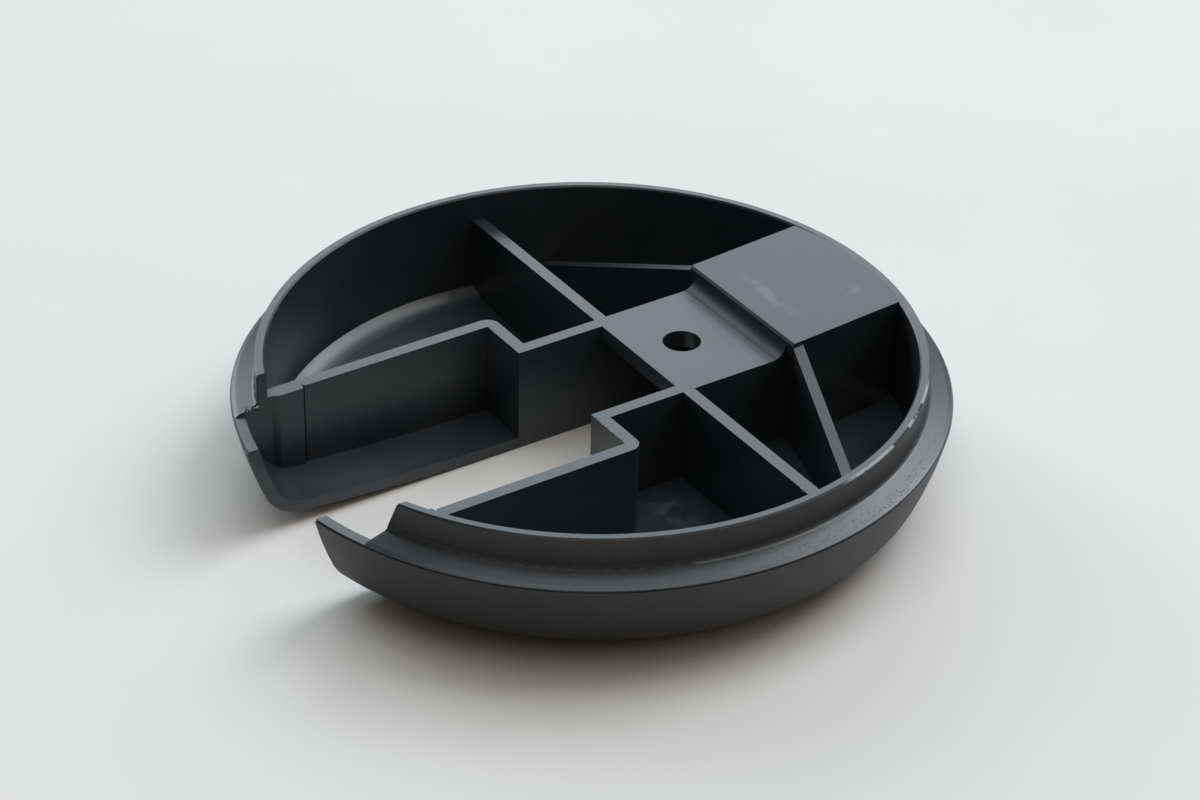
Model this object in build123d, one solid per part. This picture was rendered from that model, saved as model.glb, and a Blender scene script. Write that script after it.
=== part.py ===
"""Plastic hole plug: domed show face, collar for a round panel hole, cable slot, ribs and screw plate.

Millimetres, +Z up. The origin is on the collar's axis in the seat plane, where the panel's face lies.
The dome hangs below Z = 0, the collar stands above it, and the slot's mouth faces -X.
"""

import os
from math import cos, hypot, radians, sin, sqrt, tan

from build123d import *

# Collar and shoulder
COLLAR_R = 29.75  # outside of the collar, a free fit in a 60 mm hole
COLLAR_WALL = 0.9
COLLAR_H = 2.9  # above the seat plane
COLLAR_EDGE = 0.15  # bevel of the collar's top edges
CORE_DRAFT = 1.5  # degrees, inside of the collar
ROOT_FILLET = 0.45  # concave, collar to shoulder
SHOULDER_R = 31.5  # outer edge of the sloping shoulder
SHOULDER_DROP = 0.55
SHOULDER_EDGE = 0.2  # drop of the bevel at the shoulder's outer edge
RIM_R = 32.0  # largest radius, at the parting line
PARTING_DROP = 0.95  # parting line below the seat plane
PARTING_LEDGE = 0.14  # step at the parting line

# Domed shell, three arcs that meet smoothly
DOME_H = 9.9  # lowest point below the seat plane
DOME_ARC = 288.0
CORNER_ARC = 4.3
SIDE_ARC = 30.0
RIM_LEAN = 12.5  # degrees from vertical, where the side meets the rim
SHELL_WALL = 1.1
SHELL_LIP = 0.75  # drop of the thin rim's top in the mouth, below the seat plane

# Slot and the walls beside it
RIB_TOP = 0.3  # all rib tops, above the seat plane
RIB_WALL = 1.2
SLOT_HALF = 5.9  # narrow slot, open through the dome
SLOT_END = 14.6
MOUTH_HALF = 11.25  # wide mouth, down to the dome's inside
JOG_X = -3.95  # mouth side of the jog walls
JOG_CORNER = 1.2  # outer rounding of the jog corners
CREASE_X = -23.1  # end pads of the mouth walls start here
PAD_RISE = 0.3
PAD_L = 2.4
PAD_FADE = 0.6  # run-out of an end pad, short of the collar
CREASE = 0.3  # width and depth of the groove beside an end pad
COLLAR_SLANT = 1.0  # one end of the collar leans back by this much

# Cross rib, screw plate and block
CROSS_X = 4.9  # slot side of the cross rib
PLATE_T = 1.6
SCREW_X = 9.6
SCREW_R = 1.75
BLOCK_X = 16.0  # front of the raised block
BLOCK_HALF = 8.05
BLOCK_FRONT_TOP = 2.1  # above the seat plane, at BLOCK_X
STEP_FILLET = 1.5  # concave foot of the block's front
BLOCK_EDGE = 0.2  # bevel of the block's front top edge

# Diagonal gussets
GUSSET_T = 1.0
GUSSET_LEAN = 16.7  # degrees, plan angle back towards the cross rib
GUSSET_FALL = 20.0  # degrees, slope of the top
GUSSET_START = 0.6  # start of the centre line behind the block's front

# Derived
WALL_OUT = SLOT_HALF + RIB_WALL
MOUTH_OUT = MOUTH_HALF + RIB_WALL
CORE_R = COLLAR_R - COLLAR_WALL
FAR = 2 * RIM_R


def shell_section(inset, top):
    """Half section inside the domed outer surface, moved inwards by inset and closed at height top."""
    lean = radians(RIM_LEAN)
    rim = Vector(RIM_R, -PARTING_DROP)
    side_c = rim + Vector(-cos(lean), sin(lean)) * SIDE_ARC
    dome_c = Vector(0, DOME_ARC - DOME_H)
    reach_side, reach_dome = SIDE_ARC - CORNER_ARC, DOME_ARC - CORNER_ARC
    line = dome_c - side_c
    along = (reach_side**2 - reach_dome**2 + line.length**2) / (2 * line.length)
    across = sqrt(reach_side**2 - along**2)
    unit = line.normalized()
    corner_c = side_c + unit * along + Vector(unit.Y, -unit.X) * across

    def on(centre, radius, towards):
        return centre + (towards - centre).normalized() * (radius - inset)

    pole = on(dome_c, DOME_ARC, Vector(0, -DOME_H))
    low = corner_c + (corner_c - dome_c).normalized() * (CORNER_ARC - inset)
    high = corner_c + (corner_c - side_c).normalized() * (CORNER_ARC - inset)
    side_r = SIDE_ARC - inset
    lip_y = min(top, side_c.Y - 1)
    lip = Vector(side_c.X + sqrt(side_r**2 - (lip_y - side_c.Y) ** 2), lip_y)
    with BuildSketch(Plane.XZ) as section:
        with BuildLine():
            ThreePointArc(pole, on(dome_c, DOME_ARC, pole + low), low)
            ThreePointArc(low, on(corner_c, CORNER_ARC, (low + high) / 2), high)
            ThreePointArc(high, on(side_c, SIDE_ARC, (high + lip) / 2), lip)
            Polyline(lip, (0, lip_y), pole)
        make_face()
    return section.sketch


def turned(sketch):
    return revolve(sketch, Axis.Z)


def envelope():
    """Everything inside the outer surface: dome, parting ledge, shoulder and collar, filled in."""
    step_r = RIM_R - PARTING_LEDGE
    with BuildSketch(Plane.XZ) as top:
        with BuildLine():
            Polyline(
                (0, -PARTING_DROP),
                (step_r, -PARTING_DROP),
                (step_r, -SHOULDER_DROP - SHOULDER_EDGE),
                (SHOULDER_R, -SHOULDER_DROP),
                (COLLAR_R, 0),
                (COLLAR_R, COLLAR_H),
                (0, COLLAR_H),
                close=True,
            )
        make_face()
        fillet(corner(top, COLLAR_R, 0), ROOT_FILLET)
        chamfer(corner(top, COLLAR_R, COLLAR_H), COLLAR_EDGE)
    return turned(shell_section(0, -PARTING_DROP)) + turned(top.sketch)


def corner(sketch, x, y):
    return sketch.vertices().sort_by(lambda v: hypot(v.X - x, v.Y - y))[0]


def dish():
    """Section of the domed shell's inside, carried on up past the collar's top."""
    return shell_section(SHELL_WALL, COLLAR_H + 1)


def core():
    """Section inside the drafted collar, with a small bevel at its mouth."""
    low_r = CORE_R - (COLLAR_H + DOME_H) * tan(radians(CORE_DRAFT))
    with BuildSketch(Plane.XZ) as section:
        with BuildLine():
            Polyline(
                (0, -DOME_H),
                (low_r, -DOME_H),
                (CORE_R, COLLAR_H - COLLAR_EDGE),
                (CORE_R + COLLAR_EDGE, COLLAR_H),
                (CORE_R + COLLAR_EDGE, COLLAR_H + 1),
                (0, COLLAR_H + 1),
                close=True,
            )
        make_face()
    return section.sketch


def block(x0, x1, half_y, z0, z1):
    return Pos((x0 + x1) / 2, 0, (z0 + z1) / 2) * Box(x1 - x0, 2 * half_y, z1 - z0)


def wall_blocks():
    """Solid blanks of the mouth walls, the slot walls and the cross rib, up to the rib tops."""
    mouth = block(-FAR, JOG_X + RIB_WALL, MOUTH_OUT, -DOME_H, RIB_TOP)
    corners = mouth.edges().filter_by(Axis.Z).group_by(Axis.X)[-1]
    slot = block(JOG_X, BLOCK_X + RIB_WALL, WALL_OUT, -DOME_H, RIB_TOP)
    cross = block(CROSS_X, CROSS_X + RIB_WALL, FAR, -DOME_H, RIB_TOP)
    return [fillet(corners, JOG_CORNER), slot, cross]


def raised_block():
    """Block behind the screw plate. Its top slopes up to meet the collar's top."""
    with BuildSketch(Plane.XZ) as side:
        with BuildLine():
            Polyline(
                (BLOCK_X, -DOME_H),
                (BLOCK_X, BLOCK_FRONT_TOP),
                (CORE_R, COLLAR_H),
                (COLLAR_R - COLLAR_EDGE, COLLAR_H),
                (COLLAR_R - COLLAR_EDGE, -DOME_H),
                close=True,
            )
        make_face()
        chamfer(corner(side, BLOCK_X, BLOCK_FRONT_TOP), BLOCK_EDGE)
    return extrude(side.sketch, BLOCK_HALF, both=True)


def step_foot():
    """Concave fillet between the screw plate and the block's front."""
    centre = (BLOCK_X - STEP_FILLET, RIB_TOP + STEP_FILLET)
    with BuildSketch(Plane.XZ) as side:
        with Locations(centre):
            Rectangle(STEP_FILLET, STEP_FILLET, align=(Align.MIN, Align.MAX))
            Circle(STEP_FILLET, mode=Mode.SUBTRACT)
    return extrude(side.sketch, WALL_OUT, both=True)


def gusset(side):
    """Diagonal rib from the block's front corner, its top falling towards the collar."""
    top = BLOCK_FRONT_TOP - BLOCK_EDGE
    fall = (RIM_R + GUSSET_T / 2) * tan(radians(GUSSET_FALL))
    with BuildSketch(Plane.XZ) as profile:
        Polygon(
            (-GUSSET_T, -DOME_H),
            (RIM_R, -DOME_H),
            (RIM_R, top - fall),
            (-GUSSET_T / 2, top),
            (-GUSSET_T, top),
            align=None,
        )
    rib = extrude(profile.sketch, GUSSET_T / 2, both=True)
    turn = side * (90 + GUSSET_LEAN)
    return Pos(BLOCK_X + GUSSET_START, side * BLOCK_HALF, 0) * Rot(0, 0, turn) * rib


def mouth_plan(side):
    """Half of the mouth in plan, with the end pad and the groove beside it."""
    edge = side * MOUTH_HALF
    return [
        (JOG_X, edge),
        (CREASE_X + CREASE, edge),
        (CREASE_X + CREASE / 2, side * (MOUTH_HALF + CREASE)),
        (CREASE_X, side * (MOUTH_HALF - PAD_RISE)),
        (CREASE_X - PAD_L, side * (MOUTH_HALF - PAD_RISE)),
        (CREASE_X - PAD_L - PAD_FADE, edge),
        (-FAR, edge),
    ]


def mouth_cutter():
    """Clears the mouth down to the shell's inside and down to the lip of the thin rim."""
    with BuildSketch() as plan:
        with BuildLine():
            Polyline(*mouth_plan(1), *reversed(mouth_plan(-1)), close=True)
        make_face()
    prism = Pos(0, 0, -DOME_H) * extrude(plan.sketch, DOME_H + COLLAR_H + 1)
    above = block(-FAR, FAR, FAR, -SHELL_LIP, COLLAR_H + 1)
    return prism & (turned(dish()) + above)


def slot_cutter():
    """The slot through the dome, open upwards as far as the cross rib and running on under the plate."""
    open_part = block(-FAR, CROSS_X, SLOT_HALF, -FAR, FAR)
    under = block(-FAR, SLOT_END, SLOT_HALF, -FAR, RIB_TOP - PLATE_T)
    return open_part + under


def collar_slant():
    """Trims one end of the collar to a lean, above the wall's top."""
    with BuildSketch(Plane.YZ) as wedge:
        Polygon(
            (0, RIB_TOP),
            (-MOUTH_HALF, RIB_TOP),
            (-MOUTH_HALF - COLLAR_SLANT * (1 + 1 / COLLAR_H), COLLAR_H + 1),
            (0, COLLAR_H + 1),
            align=None,
        )
    return Pos(-FAR, 0, 0) * extrude(wedge.sketch, FAR + CREASE_X)


def plug():
    hollow = turned(dish() & core())
    for rib in wall_blocks() + [raised_block(), step_foot(), gusset(1), gusset(-1)]:
        hollow -= rib
    body = envelope() - hollow
    body -= mouth_cutter()
    body -= slot_cutter()
    body -= collar_slant()
    return body - Pos(SCREW_X, 0, 0) * Cylinder(SCREW_R, FAR)


os.makedirs("parts", exist_ok=True)
export_step(plug(), "parts/plug.step")
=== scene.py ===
"""Looks of the plastic hole plug: moulded plastic, flash, floor, light and camera."""
import math
import random
import bmesh
import bpy
from mathutils import Matrix, Vector
from mathutils.bvhtree import BVHTree


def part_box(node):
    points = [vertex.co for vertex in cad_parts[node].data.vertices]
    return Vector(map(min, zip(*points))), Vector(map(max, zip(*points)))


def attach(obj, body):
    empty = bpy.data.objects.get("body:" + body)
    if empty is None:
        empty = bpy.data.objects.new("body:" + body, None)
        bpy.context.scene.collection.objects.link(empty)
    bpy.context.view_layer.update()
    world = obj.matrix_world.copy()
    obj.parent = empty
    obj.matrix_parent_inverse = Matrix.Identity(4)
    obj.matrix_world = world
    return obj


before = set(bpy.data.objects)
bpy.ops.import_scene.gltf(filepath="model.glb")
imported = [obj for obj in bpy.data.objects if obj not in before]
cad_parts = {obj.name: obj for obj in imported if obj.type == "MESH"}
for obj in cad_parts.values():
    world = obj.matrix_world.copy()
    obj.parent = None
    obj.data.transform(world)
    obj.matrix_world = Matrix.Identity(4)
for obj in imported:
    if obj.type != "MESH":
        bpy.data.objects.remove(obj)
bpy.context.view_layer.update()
MM = 0.001
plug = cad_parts["plug"]
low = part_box("plug")[0]

FLOOR_HALF = 3.0         # half the floor's side
LAMP_DISTANCE = 2.5
WORLD_STRENGTH = 0.04
PLASTIC_IOR = 1.58       # styrene plastics
BUMP_DEPTH = 0.03 * MM

# name, start and end of the edge in mm, number of crumbs, size in mm, seed
FLASH_LINES = [
    ("flash_slot_jog", (-4.2, -6.7, 0.4), (-4.3, -10.6, 0.4), 16, 0.20, 3),
    ("flash_rib_end", (4.6, -24.9, 0.4), (4.7, -25.8, 0.4), 6, 0.24, 5),
    ("flash_rim_tip", (-28.6, 11.3, -0.3), (-27.4, 11.2, -0.3), 7, 0.34, 8),
]

# name, azimuth and height in degrees, diameter in metres, brightness, colour
LAMPS = [
    ("overhead", 56, 89, 2.2, 1.65, (0.97, 0.99, 1.0)),
    ("window_left", 100, 18, 1.5, 2.8, (1.0, 0.97, 1.0)),
    ("window_back", 56, 18, 1.5, 1.3, (1.0, 1.0, 0.95)),
    ("sky_back", 56, 33, 1.2, 2.0, (0.80, 0.92, 1.0)),
    ("sky_left", 95, 33, 1.4, 1.9, (0.84, 0.96, 1.0)),
    ("sky_right", 15, 33, 1.4, 3.0, (0.90, 0.94, 1.0)),
    ("high_right", 0, 48, 1.8, 3.75, (0.98, 0.99, 1.0)),
    ("low_right", -35, 18, 1.5, 0.3, (0.8, 0.85, 1.0)),
    ("front_right", -60, 48, 1.8, 0.45, (1.0, 0.88, 0.75)),
    ("front_left", 236, 48, 1.8, 0.48, (1.0, 0.80, 0.55)),
]


# ---------------------------------------------------------------- node helpers
class Nodes:
    """Short-hand for building a node tree: every method returns an output socket."""

    def __init__(self, tree):
        self.tree = tree

    def put(self, socket, value):
        if isinstance(value, bpy.types.NodeSocket):
            self.tree.links.new(value, socket)
        elif value is not None:
            socket.default_value = value

    def node(self, kind, out=0, settings=None, **inputs):
        n = self.tree.nodes.new(kind)
        for key, value in (settings or {}).items():
            setattr(n, key, value)
        for key, value in inputs.items():
            name = key.replace("_", " ")
            if name[0] == "i" and name[1:].isdigit():    # i0, i1, ...: input by number
                name = int(name[1:])
            self.put(n.inputs[name], value)
        return n.outputs[out]

    def math(self, op, a, b=None, c=None, clamp=False):
        settings = {"operation": op, "use_clamp": clamp}
        return self.node("ShaderNodeMath", settings=settings, i0=a, i1=b, i2=c)

    def step(self, value, start, end):
        """0 at start, 1 at end, smooth between."""
        return self.node(
            "ShaderNodeMapRange",
            settings={"interpolation_type": "SMOOTHSTEP"},
            i0=value, i1=start, i2=end, i3=0.0, i4=1.0,
        )

    def scale(self, value, a, b):
        """0..1 mapped to a..b"""
        return self.node("ShaderNodeMapRange", i0=value, i1=0.0, i2=1.0, i3=a, i4=b)

    def times(self, *values):
        out = values[0]
        for v in values[1:]:
            out = self.math("MULTIPLY", out, v)
        return out

    def band(self, value, a, b, soft):
        """1 between a and b, fading over soft outside them."""
        return self.times(self.step(value, a - soft, a), self.step(value, b + soft, b))

    def noise(self, vector, per_mm, detail=2.0, rough=0.5):
        return self.node("ShaderNodeTexNoise", Vector=vector, Scale=per_mm / MM,
                         Detail=detail, Roughness=rough)

    def mix(self, factor, a, b):
        n = self.tree.nodes.new("ShaderNodeMix")
        n.data_type = "RGBA"
        self.put(n.inputs[0], factor)
        self.put(n.inputs[6], a)
        self.put(n.inputs[7], b)
        return n.outputs[2]


def new_material(name):
    m = bpy.data.materials.new(name)
    m.use_nodes = True
    m.node_tree.nodes.clear()
    return m, Nodes(m.node_tree)


# ---------------------------------------------------------------- moulded plastic
def plastic(name):
    m, n = new_material(name)
    tree = m.node_tree
    coords = tree.nodes.new("ShaderNodeTexCoord")
    at, facing = coords.outputs["Object"], coords.outputs["Normal"]
    place = tree.nodes.new("ShaderNodeSeparateXYZ")
    n.put(place.inputs[0], at)
    x, y, z = place.outputs
    face = tree.nodes.new("ShaderNodeSeparateXYZ")
    n.put(face.inputs[0], facing)
    nz = face.outputs[2]
    flat = n.node("ShaderNodeCombineXYZ", X=x, Y=y, Z=0.0)
    radius = n.node("ShaderNodeVectorMath", out=1, settings={"operation": "LENGTH"}, i0=flat)

    # the domed outside: faces down, below the parting line, and not the plate's underside
    down = n.step(nz, -0.04, -0.10)
    below = n.step(z, -0.90 * MM, -1.05 * MM)
    wide = n.math("MAXIMUM", n.step(radius, 15.5 * MM, 16.5 * MM), n.step(z, -1.8 * MM, -2.2 * MM))
    dome = n.times(down, below, wide)

    # the collar's outside, which carries the same fine texture as the dome
    upright = n.step(n.math("ABSOLUTE", nz), 0.5, 0.3)
    collar = n.times(n.step(radius, 29.55 * MM, 29.68 * MM),
                     n.step(z, -0.5 * MM, -0.3 * MM), upright)
    outer = n.math("MAXIMUM", dome, collar)

    # the shoulder ring, and how far round to the right (+X) a point lies
    ring = n.times(n.band(radius, 30.0 * MM, 31.55 * MM, 0.1 * MM),
                   n.band(z, -0.75 * MM, -0.4 * MM, 0.08 * MM))
    right = n.step(x, -8.0 * MM, 6.0 * MM)

    cloud = n.noise(at, 0.12, 3.0)
    grain = n.noise(at, 5.5, 2.0, 0.55)
    pits = n.noise(at, 2.6, 3.0, 0.6)
    blotches = n.noise(at, 0.45, 4.0, 0.6)
    spark = n.step(n.noise(at, 4.2, 2.0, 0.7), 0.60, 0.70)

    satin = n.mix(n.step(cloud, 0.35, 0.7),
                  (0.026, 0.031, 0.037, 1.0), (0.035, 0.041, 0.048, 1.0))
    matte = n.mix(n.step(pits, 0.35, 0.7),
                  (0.0125, 0.0128, 0.0130, 1.0), (0.0210, 0.0215, 0.0220, 1.0))
    colour = n.mix(outer, satin, matte)

    # painted sheen: smears on the block's top and on the floor of the near pocket, their sheen painted
    # as pale bluish blotches
    def sheen_patch(cx, cy, cz, rx, ry, rz):
        """1 in the blotches of an oval patch: centre and half sizes in mm"""
        off = n.node("ShaderNodeVectorMath", settings={"operation": "SUBTRACT"}, i0=at,
                     i1=(cx * MM, cy * MM, cz * MM))
        off = n.node("ShaderNodeVectorMath", settings={"operation": "MULTIPLY"}, i0=off,
                     i1=(1 / (rx * MM), 1 / (ry * MM), 1 / (rz * MM)))
        far = n.node("ShaderNodeVectorMath", out=1, settings={"operation": "LENGTH"}, i0=off)
        return n.times(n.step(far, 1.0, 0.35), n.step(blotches, 0.42, 0.62))

    sheen_smudges = n.math("MAXIMUM", sheen_patch(19.0, -0.8, 2.3, 0.9, 7.0, 0.8),
                   sheen_patch(25.4, -3.8, 2.6, 1.6, 1.3, 0.8))
    sheen_smudges = n.math("MAXIMUM", sheen_smudges, sheen_patch(1.2, -11.4, -8.4, 2.2, 4.6, 1.4))
    # mix in the painted sheen of the smudges as a pale blue
    colour = n.mix(n.times(sheen_smudges, 0.30), colour, (0.17, 0.21, 0.25, 1.0))

    # painted highlight on the collar's outer top edge at the right, and painted glints on the rough
    # shoulder's lit right side, both as pale colour
    lip_highlight = n.times(n.step(radius, 29.50 * MM, 29.62 * MM), n.step(z, 2.62 * MM, 2.76 * MM),
                  n.band(x, 8.0 * MM, 21.0 * MM, 2.5 * MM), n.step(y, -15.0 * MM, -19.0 * MM),
                  n.step(blotches, 0.40, 0.50))
    # painted highlight: pale blotches along the lit top edge of the collar
    colour = n.mix(n.times(lip_highlight, 0.75), colour, (0.50, 0.52, 0.54, 1.0))
    # painted glints: pale specks on the shoulder ring's right side, where the light falls
    shoulder_glints = n.times(ring, right, spark, n.step(y, -8.0 * MM, -16.0 * MM))
    colour = n.mix(n.times(shoulder_glints, 0.55), colour, (0.42, 0.45, 0.48, 1.0))

    # the weld line that runs down the collar, and a painted shade line in the corner at the collar's
    # root
    weld = n.times(n.band(x, 0.43 * MM, 0.53 * MM, 0.10 * MM),
                   n.step(y, -28.0 * MM, -29.0 * MM), n.step(z, -0.3 * MM, 0.2 * MM))
    colour = n.mix(n.times(weld, 0.30), colour, (0.060, 0.063, 0.066, 1.0))
    # painted shade: near-black band in the concave corner at the collar's root
    root = n.times(n.band(radius, 29.74 * MM, 30.0 * MM, 0.12 * MM),
                   n.band(z, -0.60 * MM, -0.28 * MM, 0.1 * MM))
    colour = n.mix(n.times(root, 0.85), colour, (0.004, 0.004, 0.005, 1.0))

    rough_in = n.scale(cloud, 0.29, 0.37)
    rough_out = n.scale(pits, 0.46, 0.62)
    rough = n.node("ShaderNodeMix", i0=outer, i2=rough_in, i3=rough_out)
    rough = n.math("ADD", rough, n.times(n.math("MAXIMUM", root, lip_highlight), 0.3), clamp=True)

    height = n.math("ADD", n.times(grain, n.scale(outer, 0.10, 0.55)),
                    n.times(pits, n.scale(outer, 0.12, 1.0)))
    height = n.math("ADD", height, n.times(spark, ring, right, 2.2))
    bump = n.node("ShaderNodeBump", Strength=0.6, Distance=BUMP_DEPTH, Height=height)

    shader = tree.nodes.new("ShaderNodeBsdfPrincipled")
    n.put(shader.inputs["Base Color"], colour)
    n.put(shader.inputs["Roughness"], rough)
    n.put(shader.inputs["Normal"], bump)
    shader.inputs["IOR"].default_value = PLASTIC_IOR
    out = tree.nodes.new("ShaderNodeOutputMaterial")
    n.put(out.inputs["Surface"], shader.outputs[0])
    return m


body = plastic("moulded_plastic")
plug.data.materials.clear()
plug.data.materials.append(body)


# ---------------------------------------------------------------- flash left by the mould
def flash(name, start, end, count, size, seed):
    """Ragged crumbs of plastic along an edge, each a small closed lump set into the part."""
    draw = random.Random(seed)
    surface = BVHTree.FromPolygons([v.co.copy() for v in plug.data.vertices],
                                   [tuple(p.vertices) for p in plug.data.polygons])
    bm = bmesh.new()
    for i in range(count):
        t = (i + draw.uniform(-0.3, 0.3)) / max(count - 1, 1)
        spot = Vector(start).lerp(Vector(end), t) * MM
        on, facing, _, _ = surface.find_nearest(spot)
        lump = size * draw.uniform(0.5, 1.0) * MM
        turn = Matrix.Rotation(draw.uniform(0, math.tau), 4, "Z")
        spin = turn @ Matrix.Rotation(draw.uniform(-0.5, 0.5), 4, "X")
        shape = Matrix.Diagonal((lump * draw.uniform(0.5, 1.0), lump * draw.uniform(0.25, 0.6),
                                 lump * draw.uniform(0.35, 0.8), 1.0))
        place = Matrix.Translation(on + facing * lump * 0.1) @ spin @ shape
        made = bmesh.ops.create_icosphere(bm, subdivisions=1, radius=1.0, matrix=place)
        for v in made["verts"]:
            v.co += Vector([draw.uniform(-0.22, 0.22) for _ in range(3)]) * lump
    mesh = bpy.data.meshes.new(name)
    bm.to_mesh(mesh)
    bm.free()
    o = bpy.data.objects.new(name, mesh)
    bpy.context.scene.collection.objects.link(o)
    mesh.materials.append(crumbs)
    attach(o, "root")


def crumb_material():
    m, n = new_material("whitened_flash")
    at = m.node_tree.nodes.new("ShaderNodeTexCoord").outputs["Object"]
    grain = n.noise(at, 6.0, 2.0)
    shader = m.node_tree.nodes.new("ShaderNodeBsdfPrincipled")
    n.put(shader.inputs["Base Color"],
          n.mix(n.step(grain, 0.40, 0.60), (0.05, 0.055, 0.06, 1.0), (0.40, 0.42, 0.44, 1.0)))
    n.put(shader.inputs["Roughness"], n.scale(grain, 0.25, 0.5))
    shader.inputs["IOR"].default_value = PLASTIC_IOR
    n.put(m.node_tree.nodes.new("ShaderNodeOutputMaterial").inputs["Surface"], shader.outputs[0])
    return m


crumbs = crumb_material()
for line in FLASH_LINES:
    flash(*line)


# ---------------------------------------------------------------- floor
def floor_material():
    m, n = new_material("pale_floor")
    tree = m.node_tree
    at = tree.nodes.new("ShaderNodeTexCoord").outputs["Object"]
    cloud = n.noise(at, 0.03, 3.0)
    colour = n.mix(cloud, (0.70, 0.70, 0.695, 1.0), (0.76, 0.76, 0.76, 1.0))
    shader = tree.nodes.new("ShaderNodeBsdfPrincipled")
    n.put(shader.inputs["Base Color"], colour)
    shader.inputs["Roughness"].default_value = 0.6
    out = tree.nodes.new("ShaderNodeOutputMaterial")
    n.put(out.inputs["Surface"], shader.outputs[0])
    return m


def make_floor():
    mesh = bpy.data.meshes.new("floor")
    corners = [(FLOOR_HALF * i, FLOOR_HALF * j, low.z) for i, j in ((-1, -1), (1, -1), (1, 1), (-1, 1))]
    mesh.from_pydata(corners, [], [(0, 1, 2, 3)])
    floor = bpy.data.objects.new("floor", mesh)
    bpy.context.scene.collection.objects.link(floor)
    mesh.materials.append(floor_material())


make_floor()


# ---------------------------------------------------------------- light
def soft_disk(name, azimuth, height, size, strength, colour):
    """A round area lamp far off: angles in degrees, strength as the brightness of its face."""
    lamp = bpy.data.lights.new(name, "AREA")
    lamp.shape = "DISK"
    lamp.size = size
    lamp.energy = strength * (math.pi * size / 2) ** 2
    lamp.color = colour
    o = bpy.data.objects.new(name, lamp)
    a, e = math.radians(azimuth), math.radians(height)
    way = Vector((math.cos(a) * math.cos(e), math.sin(a) * math.cos(e), math.sin(e)))
    o.location = way * LAMP_DISTANCE
    o.rotation_euler = way.to_track_quat("Z", "Y").to_euler()
    bpy.context.scene.collection.objects.link(o)


for lamp_row in LAMPS:
    soft_disk(*lamp_row)

world = bpy.data.worlds.new("studio")
bpy.context.scene.world = world
world.use_nodes = True
world.node_tree.nodes["Background"].inputs[0].default_value = (1.0, 0.985, 0.97, 1.0)
world.node_tree.nodes["Background"].inputs[1].default_value = WORLD_STRENGTH


# ---------------------------------------------------------------- camera
def make_camera():
    cam = bpy.data.cameras.new("camera")
    cam.sensor_width = 36.0
    cam.lens = 106.91
    cam.clip_start, cam.clip_end = 0.01, 20.0
    o = bpy.data.objects.new("camera", cam)
    right = Vector((0.83712, -0.54677, 0.01638))
    up = Vector((0.28399, 0.45999, 0.84129))
    back = right.cross(up)
    spin = Matrix((right, up, back)).transposed().to_4x4()
    o.matrix_world = Matrix.Translation((-0.147725, -0.222385, 0.168706)) @ spin
    bpy.context.scene.collection.objects.link(o)
    bpy.context.scene.camera = o


make_camera()
bpy.context.scene.view_settings.view_transform = "Standard"
